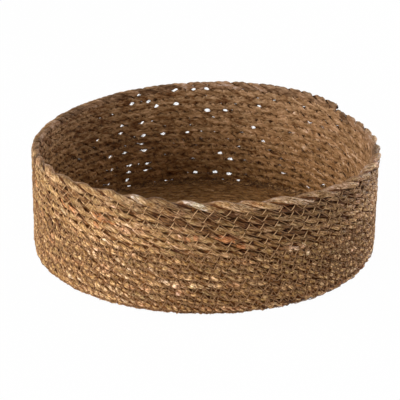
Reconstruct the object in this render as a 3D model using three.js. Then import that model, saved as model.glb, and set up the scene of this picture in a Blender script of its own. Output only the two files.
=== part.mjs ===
// Round basket of coiled seagrass cord, sewn row to row with a zigzag lockstitch.
// One cord lies in a flat spiral for the base, turns up over the heel and climbs the wall as a helix.
// Its last round is the rim, whose end is thinned and lies down on the round below.
// The needle thread runs along every seam on the outside, and the bobbin thread on the inside.
// Millimetres, +Z up, origin at the centre of the base on the surface that the basket stands on.

import * as THREE from "three";

// Driving dimensions
const OUTSIDE_DIAMETER = 300; // across the wall
const HEIGHT = 103; // top of the rim at its highest place, beside the end of the cord
const HEEL_RADIUS = 10; // outside bend from the base to the wall
const CORD_DIAMETER = 6.3;
const ROW_GAP = 0.5; // between one row of cord and the next
const EYE_RADIUS = 4.2; // how near the centre the cord may start, at its centre line
const FOOT_CUT = CORD_DIAMETER / 10; // how deep the underside of the base is flattened
const TAIL_LENGTH = 42; // thinned end of the cord on the rim
const TAIL_END = 0.45; // thickness left at the very end, as a share of the cord's
const CORD_END_GAP = 0.3; // between two cord ends that meet
const THREAD_DIAMETER = 0.9;
const THREAD_CLEARANCE = 0.3; // between a thread and the two rows that it joins
const RIM_END_DEGREES = 36; // where the cord ends, seen from above, anticlockwise from +X
const STEPS_PER_TURN = 20;
const CORD_SIDES = 6;
const THREAD_SIDES = 3;
const TAIL_STEPS = 4;
const NEAREST_RING = 0.05; // an end keeps this share of a step from the next ring of points
const ON_STEP = 1e-6; // a place this near a step, as a share of one, is on it
const SEARCH_STEP = 0.05; // how finely a thread's depth in its seam is found

const COLOURS = {
  base: 0x8f6d45,
  heel: 0x98744a,
  wall: 0xa07a4c,
  rim: 0xb48c58,
  needle: 0xb98f5c,
  bobbin: 0x8a6a44,
};

// The middle line of the wall and base in section, from the centre outwards and up
const cordRadius = CORD_DIAMETER / 2;
const pitch = CORD_DIAMETER + ROW_GAP;
const wallLine = OUTSIDE_DIAMETER / 2 - cordRadius;
const bendRadius = HEEL_RADIUS - cordRadius;
const floorHeight = cordRadius - FOOT_CUT;
const floorLength = wallLine - bendRadius;
const bendLength = (bendRadius * Math.PI) / 2;
const wallLength = HEIGHT - cordRadius - floorHeight - bendRadius;
const cordEnd = floorLength + bendLength + wallLength;

// Where the middle line is at a distance along it, which way is along it and which way is out
function middleLine(distance) {
  if (distance <= floorLength) return { r: distance, z: floorHeight, along: [1, 0], out: [0, -1] };
  if (distance >= floorLength + bendLength) {
    const z = floorHeight + bendRadius + distance - floorLength - bendLength;
    return { r: wallLine, z, along: [0, 1], out: [1, 0] };
  }
  const turn = (distance - floorLength) / bendRadius;
  const [s, c] = [Math.sin(turn), Math.cos(turn)];
  const [r, z] = [floorLength + bendRadius * s, floorHeight + bendRadius * (1 - c)];
  return { r, z, along: [c, s], out: [s, -c] };
}

// The cord's steps, counted back from its end on the rim, so that all rows bend at the same angles
const stepLength = pitch / STEPS_PER_TURN;
const allSteps = Math.floor((cordEnd - EYE_RADIUS) / stepLength);
const cordStart = cordEnd - allSteps * stepLength;
const rimStart = cordEnd - pitch;
const stepBefore = (distance) => cordEnd - Math.ceil((cordEnd - distance) / stepLength) * stepLength;
const heelStart = stepBefore(floorLength);
const wallStart = stepBefore(floorLength + bendLength) + stepLength;
const angleAt = (distance) =>
  (RIM_END_DEGREES * Math.PI) / 180 + (2 * Math.PI * (cordEnd - distance)) / pitch;

// Thickness of the cord at a distance along the line, as a share of its full thickness
const tailSpan = (TAIL_LENGTH / (2 * Math.PI * wallLine)) * pitch;
function fullness(distance) {
  const intoTail = Math.max(0, (distance - cordEnd + tailSpan) / tailSpan);
  return 1 - (1 - TAIL_END) * intoTail;
}

// One row's outline in the upright plane through the axis, as [r, z] points, cut flat where it would
// reach below the surface that the basket stands on
function cordOutline(distance) {
  const line = middleLine(distance);
  const radius = cordRadius * fullness(distance);
  const settle = radius - cordRadius;
  return Array.from({ length: CORD_SIDES }, (_, i) => {
    const a = (2 * Math.PI * i) / CORD_SIDES;
    const [u, v] = [radius * Math.cos(a) + settle, radius * Math.sin(a)];
    const z = line.z + u * line.along[1] + v * line.out[1];
    return [line.r + u * line.along[0] + v * line.out[0], Math.max(0, z)];
  });
}

function distanceToEdge([px, py], [ax, ay], [bx, by]) {
  const [dx, dy] = [bx - ax, by - ay];
  const t = Math.min(1, Math.max(0, ((px - ax) * dx + (py - ay) * dy) / (dx * dx + dy * dy)));
  return Math.hypot(px - ax - t * dx, py - ay - t * dy);
}

const distanceToOutline = (point, outline) =>
  Math.min(...outline.map((a, i) => distanceToEdge(point, a, outline[(i + 1) % outline.length])));

// How much nearer two rows are between two steps than at a step, because the rows are straight there
const chordShare = Math.cos(Math.PI / STEPS_PER_TURN);

// A thread's outline in the seam above the row at this distance: as deep as it goes on that face
const threadRadius = THREAD_DIAMETER / 2;
function threadOutline(distance, face) {
  const seam = middleLine(distance + pitch / 2);
  const rows = [cordOutline(distance), cordOutline(distance + pitch)];
  const room = (threadRadius + THREAD_CLEARANCE) / chordShare;
  const at = (u, v) => [
    seam.r + u * seam.along[0] + face * v * seam.out[0],
    seam.z + u * seam.along[1] + face * v * seam.out[1],
  ];
  let depth = 0;
  while (rows.some((row) => distanceToOutline(at(0, depth), row) < room)) depth += SEARCH_STEP;
  return Array.from({ length: THREAD_SIDES }, (_, i) => {
    const a = (2 * Math.PI * i) / THREAD_SIDES;
    return at(threadRadius * Math.sin(a), depth - threadRadius * Math.cos(a));
  });
}

// The distances at which a stretch has a ring of points: its two ends and the steps between
function ringsOf(from, to, extra = []) {
  const margin = stepLength * NEAREST_RING;
  const first = Math.ceil((from + margin - cordStart) / stepLength);
  const last = Math.floor((to - margin - cordStart) / stepLength);
  const inside = Array.from({ length: last - first + 1 }, (_, i) => cordStart + (first + i) * stepLength);
  return [from, ...inside, to, ...extra].sort((a, b) => a - b);
}

// Points of an outline in space. Between two steps they lie on the straight line from one to the next.
function ringPoints(distance, outlineOf) {
  const step = (distance - cordStart) / stepLength;
  if (Math.abs(step - Math.round(step)) < ON_STEP) return placed(outlineOf(distance), angleAt(distance));
  const whole = Math.floor(step);
  const onStep = (n) => placed(outlineOf(distance), angleAt(cordStart + n * stepLength));
  const [start, end] = [onStep(whole), onStep(whole + 1)];
  return start.map((point, i) => point.lerp(end[i], step - whole));
}

const placed = (outline, angle) =>
  outline.map(([r, z]) => new THREE.Vector3(r * Math.cos(angle), r * Math.sin(angle), z));

// A closed tube through rings of points, with a flat cap on each end
function tube(rings) {
  const sides = rings[0].length;
  const positions = rings.flat().flatMap((p) => [p.x, p.y, p.z]);
  const faces = [];
  for (let k = 0; k + 1 < rings.length; k++)
    for (let i = 0; i < sides; i++) {
      const [a, b] = [k * sides + i, k * sides + ((i + 1) % sides)];
      faces.push(a, b, b + sides, a, b + sides, a + sides);
    }
  const lastRing = (rings.length - 1) * sides;
  for (let i = 1; i + 1 < sides; i++) {
    faces.push(0, i + 1, i);
    faces.push(lastRing, lastRing + i, lastRing + i + 1);
  }
  const geometry = new THREE.BufferGeometry();
  geometry.setAttribute("position", new THREE.Float32BufferAttribute(positions, 3));
  geometry.setIndex(faces);
  return facingOut(geometry);
}

function volumeOf(geometry) {
  const p = geometry.getAttribute("position");
  const corner = (n) => new THREE.Vector3().fromBufferAttribute(p, geometry.index.getX(n));
  let sum = 0;
  for (let n = 0; n < geometry.index.count; n += 3)
    sum += corner(n).dot(corner(n + 1).cross(corner(n + 2))) / 6;
  return sum;
}

function facingOut(geometry) {
  if (volumeOf(geometry) < 0) geometry.index.array.reverse();
  return geometry;
}

const stretch = (from, to, outlineOf, extra) =>
  tube(ringsOf(from, to, extra).map((distance) => ringPoints(distance, outlineOf)));

// Least gap between one row and the next, measured from points on one outline to the other outline
function leastRowGap(from, to) {
  let least = Infinity;
  for (const distance of ringsOf(from, to - pitch)) {
    const next = cordOutline(distance + pitch);
    for (const point of cordOutline(distance)) least = Math.min(least, distanceToOutline(point, next));
    const here = cordOutline(distance);
    for (const point of next) least = Math.min(least, distanceToOutline(point, here));
  }
  return least * chordShare;
}

const shown = (value) => value.toFixed(2);
console.log(`base_cord: least gap to itself ${shown(leastRowGap(cordStart, heelStart))} mm`);
console.log(`heel_cord: least gap to itself ${shown(leastRowGap(heelStart, wallStart))} mm`);
console.log(`wall_cord: least gap to itself ${shown(leastRowGap(wallStart, rimStart))} mm`);
console.log(`rows in the base: ${shown((heelStart - cordStart) / pitch)}`);
console.log(`rows above the base: ${shown((cordEnd - heelStart) / pitch)}`);

// Assembly
const basket = new THREE.Group();

function add(name, geometry, colour, roughness) {
  geometry.computeVertexNormals();
  const material = new THREE.MeshStandardMaterial({ color: colour, roughness, metalness: 0 });
  const mesh = new THREE.Mesh(geometry, material);
  mesh.name = name;
  basket.add(mesh);
}

const tailRings = Array.from(
  { length: TAIL_STEPS - 1 },
  (_, i) => cordEnd - (tailSpan * (i + 1)) / TAIL_STEPS,
);

// Half of the gap between two ends that meet, as a distance along the middle line
const halfGapAt = (distance) => (CORD_END_GAP / 2 / (2 * Math.PI * middleLine(distance).r)) * pitch;

// The four stretches of the one cord. Each thread runs in the seams below the rows that it sews on.
const stretches = [
  ["base", cordStart, heelStart],
  ["heel", heelStart, wallStart],
  ["wall", wallStart, rimStart],
  ["rim", rimStart, cordEnd],
];
const faces = [
  ["needle_thread", 1],
  ["bobbin_thread", -1],
];
for (const [where, from, to] of stretches) {
  const extra = where === "rim" ? tailRings : [];
  const start = from === cordStart ? from : from + halfGapAt(from);
  const end = to === cordEnd ? to : to - halfGapAt(to);
  add(`${where}_cord`, stretch(start, end, cordOutline, extra), COLOURS[where], 0.85);
  for (const [thread, face] of faces) {
    const seamStart = Math.max(cordStart, from - pitch);
    const seamEnd = to - pitch;
    const line = stretch(
      seamStart + halfGapAt(seamStart),
      seamEnd - halfGapAt(seamEnd),
      (distance) => threadOutline(distance, face),
    );
    add(`${where}_${thread}`, line, face > 0 ? COLOURS.needle : COLOURS.bobbin, 0.6);
  }
}

export default basket;
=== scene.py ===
"""A low round basket, coiled from one twisted seagrass cord and sewn row to row with a zigzag lockstitch.

The cord is two plies of flat leaves, which follow the same coil as the frame's cord nodes. Metres, +Z up.
"""

import math
from collections import namedtuple

import bpy
import numpy as np
from mathutils import Matrix, Vector


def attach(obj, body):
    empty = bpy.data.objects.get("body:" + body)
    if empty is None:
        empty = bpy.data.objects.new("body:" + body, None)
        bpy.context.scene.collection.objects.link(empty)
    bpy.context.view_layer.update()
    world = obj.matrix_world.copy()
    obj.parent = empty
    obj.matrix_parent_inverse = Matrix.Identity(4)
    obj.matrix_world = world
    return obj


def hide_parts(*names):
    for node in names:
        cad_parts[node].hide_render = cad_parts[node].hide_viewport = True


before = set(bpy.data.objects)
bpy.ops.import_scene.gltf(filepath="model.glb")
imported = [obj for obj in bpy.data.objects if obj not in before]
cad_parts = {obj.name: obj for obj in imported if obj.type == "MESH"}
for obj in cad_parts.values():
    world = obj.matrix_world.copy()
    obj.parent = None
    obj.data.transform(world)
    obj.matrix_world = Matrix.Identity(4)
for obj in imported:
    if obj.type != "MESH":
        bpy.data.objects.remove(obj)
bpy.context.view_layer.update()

# The coil, as the frame's cord nodes follow it
OUTSIDE_RADIUS = 0.150
HEIGHT = 0.103
HEEL_RADIUS = 0.010
CORD_RADIUS = 0.00315
PITCH = 0.0068
FOOT_CUT = 0.00063
EYE_RADIUS = 0.0042
END_ANGLE = math.radians(36)
GRID_STEPS = 60000

WALL_LINE = OUTSIDE_RADIUS - CORD_RADIUS
BEND_RADIUS = HEEL_RADIUS - CORD_RADIUS
FLOOR_HEIGHT = CORD_RADIUS - FOOT_CUT
FLOOR_LENGTH = WALL_LINE - BEND_RADIUS
BEND_LENGTH = BEND_RADIUS * math.pi / 2
CORD_END = FLOOR_LENGTH + BEND_LENGTH + HEIGHT - CORD_RADIUS - FLOOR_HEIGHT - BEND_RADIUS
ALL_TURNS = (CORD_END - EYE_RADIUS) / PITCH
HEEL_TURNS = (CORD_END - FLOOR_LENGTH) / PITCH  # counted down from the end of the cord on the rim
WALL_TURNS = (CORD_END - FLOOR_LENGTH - BEND_LENGTH) / PITCH


class Wander:
    """A seeded random line between -1 and 1, smooth from knot to knot."""

    KNOTS = 4096

    def __init__(self, seed, spacing):
        self.values = np.random.default_rng(seed).uniform(-1, 1, self.KNOTS)
        self.spacing = spacing

    def __call__(self, arc):
        x = np.asarray(arc, float) / self.spacing
        knot = np.floor(x).astype(int)
        return blend(self.values[knot % self.KNOTS], self.values[(knot + 1) % self.KNOTS], smooth(x - knot))


def wanders(seed, count, spacing):
    return [Wander(seed + k, spacing) for k in range(count)]


def smooth(x):
    x = np.clip(x, 0, 1)
    return x * x * (3 - 2 * x)


def blend(first, second, share):
    return first + (second - first) * share


def power(x, exponent):
    return np.sign(x) * np.abs(x) ** exponent


def running_sum(values, steps):
    middle = (values[1:] + values[:-1]) / 2
    return np.concatenate([[0], np.cumsum(middle * np.diff(steps))])


def profile(turns):
    """Radius and height of the cord's middle line, and the cosine and sine of how far it has bent upwards."""
    line = CORD_END - PITCH * turns
    bend = np.clip((line - FLOOR_LENGTH) / BEND_RADIUS, 0, math.pi / 2)
    rise = np.maximum(line - FLOOR_LENGTH - BEND_LENGTH, 0)
    r = np.minimum(line, FLOOR_LENGTH) + BEND_RADIUS * np.sin(bend)
    z = FLOOR_HEIGHT + BEND_RADIUS * (1 - np.cos(bend)) + rise
    return r, z, np.cos(bend), np.sin(bend)


# How far along the cord each turn is, counted from its end on the rim
GRID_TURNS = np.linspace(0, ALL_TURNS, GRID_STEPS + 1)
GRID_ARC = running_sum(math.tau * profile(GRID_TURNS)[0], GRID_TURNS)
CORD_LENGTH = GRID_ARC[-1]


def arc_at(turns):
    return np.interp(turns, GRID_TURNS, GRID_ARC)


def turns_at(arc):
    return np.interp(arc, GRID_ARC, GRID_TURNS)


def angle_at(turns):
    return END_ANGLE + math.tau * turns


# The twist

PLIES = 2
# How long a whole twist of the cord is, at turns from its end on the rim
LAY_PLACES = (0.0, 0.12, 0.36, 0.42, 0.47, 0.60, 0.72, 0.82, 0.90, 1.0)
LAYS = (0.034, 0.027, 0.026, 0.036, 0.046, 0.057, 0.056, 0.048, 0.040, 0.035)
LAY_WANDER = 0.20
LAY_SWING = 0.2  # how much longer the wall's twist is at the front right, and shorter across from there
LONGEST_LAY = math.radians(-50)
SWING_START = 0.2  # turns below the rim, along which the swing sets in
FIRST_TWIST = 1.5  # radians at the end of the cord

lay_wander = Wander(11, 0.09)
swing = np.cos(angle_at(GRID_TURNS) - LONGEST_LAY) * smooth((GRID_TURNS - 1) / SWING_START)
GRID_LAY = np.interp(GRID_TURNS, LAY_PLACES, LAYS) * (1 + LAY_WANDER * lay_wander(GRID_ARC))
GRID_LAY = GRID_LAY * (1 + LAY_SWING * swing)
GRID_TWIST = FIRST_TWIST + running_sum(math.tau / GRID_LAY, GRID_ARC)


def ply_twist(arc, ply):
    """Which way a ply lies from the cord's middle: 0 is up and a quarter turn is out."""
    return np.interp(arc, GRID_ARC, GRID_TWIST) + math.tau * ply / PLIES


# The rim

NARROW_RIM = 0.40  # turns from the cord's end along which the rim is thinner
NARROW_SIZE = 0.92
THICK_RIM_END = 0.9  # turns from the cord's end
RIM_CHANGE = 0.1  # turns along which the rim gets thicker or thinner
RIM_DROP = 0.0012


def rim_drop(turns):
    """How much lower the thick part of the rim reaches, and the seam under it, at a turn of the rim."""
    thick = smooth((turns - NARROW_RIM) / RIM_CHANGE)
    return RIM_DROP * thick * (1 - smooth((turns - THICK_RIM_END) / RIM_CHANGE))


# The zigzag lockstitch, sewn once all over and a second time along the lower rows of the wall

STITCH_REACH = 0.0032  # from the seam to a needle hole
MEAN_REACH = 0.93  # as a share of that
REACH_UNEVEN = 0.13
PERIOD = 0.0132  # along the seam from one lower needle hole to the next
SECOND_PERIOD = 0.0064
SECOND_TOP = 7.2  # turns below the rim
PERIOD_UNEVEN = 0.18
HOLES_UNEVEN = 0.09  # along the seam, as a share of the period
RISING = 0.31  # share of a period that the leg from a lower hole to the upper one takes
LOOSE = 0.9  # pull of the thread under the rim, as a share of that near the base
LOOSE_TURNS = 4  # below the rim, and it tightens over as many again
RISING_PINCH = 0.00055  # how deep a leg of the thread presses into the cord
FALLING_PINCH = 0.00105
PINCH_WIDTH = 0.00056
DIMPLE = 0.00045  # depth at a needle hole
DIMPLE_WIDTH = 0.0012


def zigzag(part):
    """The thread's place across the seam, from -1 at a lower hole to 1 at the upper one and back."""
    return np.where(part < RISING, -1 + 2 * part / RISING, 1 - 2 * (part - RISING) / (1 - RISING))


class Stitching:
    """One pass of the zigzag along the coil, which sews each turn to the one above it."""

    def __init__(self, seed, period, first, last, shade):
        self.first, self.last = first, last
        self.shade = shade
        self.period = period * (1 + PERIOD_UNEVEN * Wander(seed, 0.04)(GRID_ARC))
        uneven = HOLES_UNEVEN * Wander(seed + 1, 0.006)(GRID_ARC)
        self.count = running_sum(1 / self.period, GRID_ARC) + uneven
        self.reach = STITCH_REACH * (MEAN_REACH + REACH_UNEVEN * Wander(seed + 2, 0.005)(GRID_ARC))

    def at(self, turns):
        """The share of the period behind a seam's turn, the period, the reach and whether it is sewn."""
        part = np.mod(np.interp(turns, GRID_TURNS, self.count), 1)
        period = np.interp(turns, GRID_TURNS, self.period)
        reach = np.interp(turns, GRID_TURNS, self.reach)
        return part, period, reach, (turns > self.first) & (turns < self.last)

    def pressed(self, seam_turns, height):
        """How deep the thread presses into the rows at a height over the seam."""
        part, period, reach, sewn = self.at(seam_turns)
        rising = part < RISING
        run = period * np.where(rising, RISING, 1 - RISING)
        away = (height - reach * zigzag(part)) * run / np.hypot(run, 2 * reach)
        depth = np.where(rising, RISING_PINCH, FALLING_PINCH) * np.exp(-((away / PINCH_WIDTH) ** 2))
        lower = np.minimum(part, 1 - part) * period
        upper = np.abs(part - RISING) * period
        for along, end in ((lower, -reach), (upper, reach)):
            depth = depth + DIMPLE * np.exp(-((height - end) ** 2 + along**2) / DIMPLE_WIDTH**2)
        return sewn * depth * blend(LOOSE, 1, smooth(seam_turns / LOOSE_TURNS - 1))


# shade is the painted shade on a pass's thread, which also sinks the thread by that share of its radius
FIRST_PASS = Stitching(111, PERIOD, 1, ALL_TURNS, shade=0.0)
SECOND_PASS = Stitching(121, SECOND_PERIOD, SECOND_TOP, HEEL_TURNS + 1, shade=0.65)


def pinch(turns, u):
    """How deep the threads of the two seams beside a row press into it, at a height u above its middle."""
    pressed = 0
    for stitching in (FIRST_PASS, SECOND_PASS):
        pressed = pressed + stitching.pressed(turns, u - PITCH / 2 + rim_drop(turns - 1))
        pressed = pressed + stitching.pressed(turns + 1, u + PITCH / 2 + rim_drop(turns))
    return np.minimum(pressed, FALLING_PINCH + DIMPLE)


# The hand-made unevenness, in metres for the cosine and sine of the angle and of twice the angle

RIM_TILT = (0.0021, 0.0008)
RIM_SADDLE = (-0.0020, 0.0016)
FOOT_OVAL = (0.0004, 0.0013)
FOOT_SHRINK = 0.0009
HIGHEST = 1.1  # share of the height above which nothing rises further
WAVE = 0.0006
WAVE_FADE = 1.4  # share of the height at which the up and down waves would end
WAVE_CLOSING = 0.03  # along the wall, before the waves begin again
WAVE_SLANT = 0.6
WAVE_STEADY = 0.6  # how large the waves are on an average row
wave_rows = wanders(141, 2, 0.040)
wave_bands = wanders(145, 2, 0.030)


def around_once(first, angle):
    return first[0] * np.cos(angle) + first[1] * np.sin(angle)


def rim_rise(angle):
    """How far the rim stands above or below its even height at an angle."""
    return around_once(RIM_TILT, angle) + around_once(RIM_SADDLE, 2 * angle)


def foot_spread(angle):
    """How far the foot of the wall stands out of its circle at an angle."""
    return around_once(FOOT_OVAL, 2 * angle) - FOOT_SHRINK


def wave(k, angle, z):
    """A slow unevenness over the wall, between -1 and 1 and the same on neighbouring rows."""
    around = OUTSIDE_RADIUS * np.mod(angle, math.tau)
    closing = smooth((math.tau * OUTSIDE_RADIUS - around) / WAVE_CLOSING)
    return closing * wave_rows[k](around + WAVE_SLANT * z) * blend(WAVE_STEADY, 1, wave_bands[k](z + 1))


def place(turns, u, v, row_turns=None):
    """Points in space, at heights u up the wall from a turn's line and depths v out of it."""
    r, z, c, s = profile(turns)
    r = r + u * c + v * s
    z = z + u * s - v * c
    angle = angle_at(turns if row_turns is None else row_turns)
    share = np.clip(z / HEIGHT, 0, HIGHEST)
    z = z + rim_rise(angle) * share**2 + WAVE * wave(0, angle, z) * share * (WAVE_FADE - share)
    r = r + WAVE * wave(1, angle, z) * share
    r = r + foot_spread(angle) * (1 - np.minimum(share, 1)) * (r / OUTSIDE_RADIUS) ** 2
    z = np.maximum(z, 0)
    return np.stack([r * np.cos(angle), r * np.sin(angle), z], axis=-1)


# The camera: where the photograph was taken from, with the basket's middle at that pixel of the picture

PICTURE_SIDE = 400
VIEW_ELEVATION = 0.3757  # radians
VIEW_DISTANCE = 1.6116
VIEW_HEIGHT = 0.05
FOCAL_PIXELS = 1840.8
MIDDLE_PIXEL = (204.8, 192.9)
ROLL = 0.0133
SENSOR = 36.0


def camera_place():
    """Where the camera stands, and its turn as a matrix."""
    back = Vector((0, -math.cos(VIEW_ELEVATION), math.sin(VIEW_ELEVATION)))
    turn = back.to_track_quat("Z", "Y").to_matrix()
    right = (MIDDLE_PIXEL[0] - PICTURE_SIDE / 2) / FOCAL_PIXELS
    up = (PICTURE_SIDE / 2 - MIDDLE_PIXEL[1]) / FOCAL_PIXELS
    for angle, axis in ((right, "Y"), (-up, "X"), (ROLL, "Z")):
        turn = turn @ Matrix.Rotation(angle, 3, axis)
    return Vector((0, 0, VIEW_HEIGHT)) + VIEW_DISTANCE * back, turn


def wall_place(pixel, out, far):
    """The turn whose seam, half a pitch over its line, is nearest to a pixel's place on the wall, and the
    height left over. out is how far that place is from the middle of the wall."""
    start, turn = camera_place()
    x = (pixel[0] + 0.5 - PICTURE_SIDE / 2) / FOCAL_PIXELS
    y = (PICTURE_SIDE / 2 - pixel[1] - 0.5) / FOCAL_PIXELS
    way = turn @ Vector((x, y, -1))
    radius = WALL_LINE + out
    a = way.x**2 + way.y**2
    b = start.x * way.x + start.y * way.y
    c = start.x**2 + start.y**2 - radius**2
    root = math.sqrt(b * b - a * c)
    point = start + way * ((-b + root if far else -b - root) / a)
    angle = math.atan2(point.y, point.x)
    z = point.z - rim_rise(angle) * (point.z / HEIGHT) ** 2
    turns_down = (HEIGHT - CORD_RADIUS + PITCH / 2 - z) / PITCH
    part = ((angle - END_ANGLE) / math.tau) % 1
    turns = part + round(turns_down - part)
    return turns, (turns - turns_down) * PITCH


# Where light shows through the far wall, as pixels of the picture

SEE_THROUGH = (
    (97, 137), (118, 132), (108, 153), (110, 167), (97, 178), (87, 183), (105, 184),
    (141, 94), (128, 103), (154, 105), (149, 100), (172, 103), (143, 120), (122, 123), (140, 134),
    (160, 131), (185, 128), (123, 149), (140, 145), (142, 152), (144, 159), (128, 162), (127, 169),
    (124, 177), (125, 185), (143, 167), (168, 182), (196, 171), (214, 169), (228, 169), (230, 161),
    (237, 177), (221, 151), (191, 89), (208, 88), (206, 106), (225, 106), (176, 89), (260, 102),
    (251, 127), (266, 145), (286, 170), (308, 185), (324, 183), (306, 119), (322, 125), (336, 129),
)
HOLE_WIDTH = 0.0027
HOLE_STRETCH = (0.8, 1.1)
HOLE_OPENING = (0.0018, 0.0026)  # how far each row draws back
HOLE_SLOPE = 0.39  # how steeply a hole falls towards the outside
HOLE_FLARE = 0.25  # how much wider it is at the faces of the wall
HOLE_LIGHT = 0.9  # how far the painted shade beside a hole is cleared, as painted light that shines through it
CLEAR_PARTS = (0.365, 0.945)  # of the thread's period, farthest from its legs


def open_places():
    """How far the rows draw back from a seam along the coil, where the finished wall lets light through."""
    random = np.random.default_rng(501)
    opening = np.zeros_like(GRID_TURNS)
    for pixel in SEE_THROUGH:
        turns = clear_place(wall_place(pixel, 0.0, far=True)[0])
        depth = random.uniform(*HOLE_OPENING)
        width = HOLE_WIDTH * random.uniform(*HOLE_STRETCH)
        opening = np.maximum(opening, depth * np.exp(-(((GRID_ARC - arc_at(turns)) / width) ** 4)))
    return opening


def clear_place(seam_turns):
    """The nearest place along the seam where no leg of the thread, in front or behind, crosses the view."""
    part, period, _, _ = FIRST_PASS.at(seam_turns)
    shift = min((math.remainder(clear - part, 1) for clear in CLEAR_PARTS), key=abs)
    return float(turns_at(arc_at(seam_turns) + shift * period))


GRID_OPENING = open_places()


def opening_at(seam_turns):
    return np.interp(seam_turns, GRID_TURNS, GRID_OPENING, left=0, right=0)


def share_open(opening):
    return np.minimum(opening / HOLE_OPENING[0], 1)


# The cord: two plies of three folded leaves each. reach is how far a ply's middle lies from the cord's
# middle, depth and width are half of what the ply measures along that line and across it, squareness is 0
# for a round ply, and folds is how deep its leaves are folded, which is less on the rim. Between the plies
# a leaf gets painted shade nearer the cord's middle than open, and is painted fully dark at dark from it.

Cord = namedtuple("Cord", "reach depth width squareness folds open dark")
WALL_CORD = Cord(0.00158, 0.00175, 0.00280, squareness=0.36, folds=1.0, open=0.0027, dark=0.0019)
RIM_CORD = Cord(0.00165, 0.00162, 0.00288, squareness=0.20, folds=0.3, open=0.0028, dark=0.0021)
LEAVES = 3

TAIL_LENGTH = 0.042
TAIL_END = 0.80
TIP_LENGTH = 0.003  # along which the very end of the tail is rounded
TIP_SIZE = 0.7
FRONT_DEEPER = 0.38  # of a ply on the thick front of the rim
FRONT_NARROWER = 0.20

# A ply's own unevenness, as turns in radians and as shares of its size
PLY_SLIP = 0.42
LEAF_ROLL = 0.5
PLY_SWELL = 0.15
PLY_LUMP = 0.11
BULGES = 4  # of each ply, with two, three, four and five humps around it
BULGE = 0.08
BULGE_TURN = 1.7  # radians from one bulge to the next
LEAF_TURN = -0.25  # turn of the leaves within a ply, for each turn of the plies
LEAF_LAP = 0.15  # how far one leaf's edge stands over the next, as a share of the ply's radius
LAP_UNEVEN = 0.7
LEAF_FOLD = 0.10
ROUNDING = 1e-6  # share of a leaf
ply_swell = wanders(21, PLIES, 0.045)
ply_lump = wanders(31, PLIES, 0.009)
ply_slip = wanders(36, PLIES, 0.016)
leaf_roll = wanders(41, PLIES, 0.05)
fold_depth = [wanders(50 + 10 * ply, LEAVES, 0.03) for ply in range(PLIES)]
bulges = [wanders(80 + 10 * ply, BULGES, 0.022) for ply in range(PLIES)]

# How a ply is pressed on its neighbours
INNER_SQUARENESS = 0.30  # of the side that faces the other ply
INSIDE_SQUARENESS = 0.35  # added where a ply lies on the inside of the wall
INNER_PLY = 0.85  # sine of the twist below which a ply begins to lie on the inside
INSIDE_BLEND = 0.003  # through the wall, from its inside to its outside
ROW_LIMIT = 0.0041  # how far a ply may reach up or down from the middle of its row
INSIDE_CLOSER = 0.0004  # added on the inside
ROW_FILL = 0.0039  # to which a ply on the inside is spread, so that the rows close
ROW_DEPTH = 0.0035  # from the middle of the wall to its faces
LEAST_LIMIT = 0.0008  # to which a row may draw back
SOFT_FROM = 0.72  # share of a limit at which a smooth stop begins
SEAM_WANDER = 0.0006  # how far the line where two rows meet strays up and down
OUTER_FACE = 0.0036  # from the middle of the wall
RIM_STANDS_OUT = 0.0020
RIM_FACE_CHANGE = 0.05  # turns
HEEL_PRESSED = 0.0005
INNER_FACE = 0.0029  # from the middle of the wall
INNER_FLATNESS = 3.5  # 1 for plies as round as outside
INSIDE_PINCH = 0.3  # share of the pinch that the threads inside make
EYE_FILL = 2.2  # how far the coil's first round is squeezed into the eye, as a share of its radius
EYE_START = 0.12  # turns
ROW_LEAN = 0.0003  # how far a row strays out of the wall
BASE_LEAN = 0.5  # share of that in the base
seam_wander = Wander(131, 0.008)
row_lean = Wander(102, 0.07)

# How near the middle of the wall a leaf still lies out of the painted shade of a seam, and where that painted
# shade is full
SEAM_OPEN = 0.0024
SEAM_DARK = 0.0014
GROOVE_OPEN = 0.0003  # depth of a groove beside a thread, at which painted shade begins in it
# How much painted shade the deepest groove beside a thread gets
GROOVE_DARK = 0.95
INSIDE_DARK = 0.10  # share of the painted shade that the folds inside have


def soft_limit(x, limit):
    """x, held below the limit by a smooth stop."""
    start = SOFT_FROM * limit
    over = np.maximum(np.abs(x) - start, 0)
    room = limit - start
    return np.sign(x) * (np.minimum(np.abs(x), start) + room * np.tanh(over / room))


def cord_size(arc, turns, drop):
    """How thick the cord is, as a share of its full thickness."""
    size = blend(TAIL_END, 1, smooth(arc / TAIL_LENGTH))
    size = size * blend(NARROW_SIZE, 1, smooth((turns - NARROW_RIM) / RIM_CHANGE))
    return size * (1 + drop / 2 / CORD_RADIUS) * blend(TIP_SIZE, 1, smooth(arc / TIP_LENGTH))


def lapped_leaves(arc, ply, around):
    """How far the leaves stand out, as a share of the ply's radius. Each laps over the next."""
    lapped = 0.0
    for leaf in range(LEAVES):
        part = np.mod(around / math.tau - leaf / LEAVES, 1) * LEAVES
        lap = LEAF_LAP * (1 + LAP_UNEVEN * fold_depth[ply][leaf](arc)) * (0.5 - part)
        fold = LEAF_FOLD * fold_depth[ply][(leaf + 1) % LEAVES](arc + 1) * np.sin(math.pi * part)
        lapped = lapped + (part < 1 - ROUNDING) * (lap + fold)
    return lapped


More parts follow.
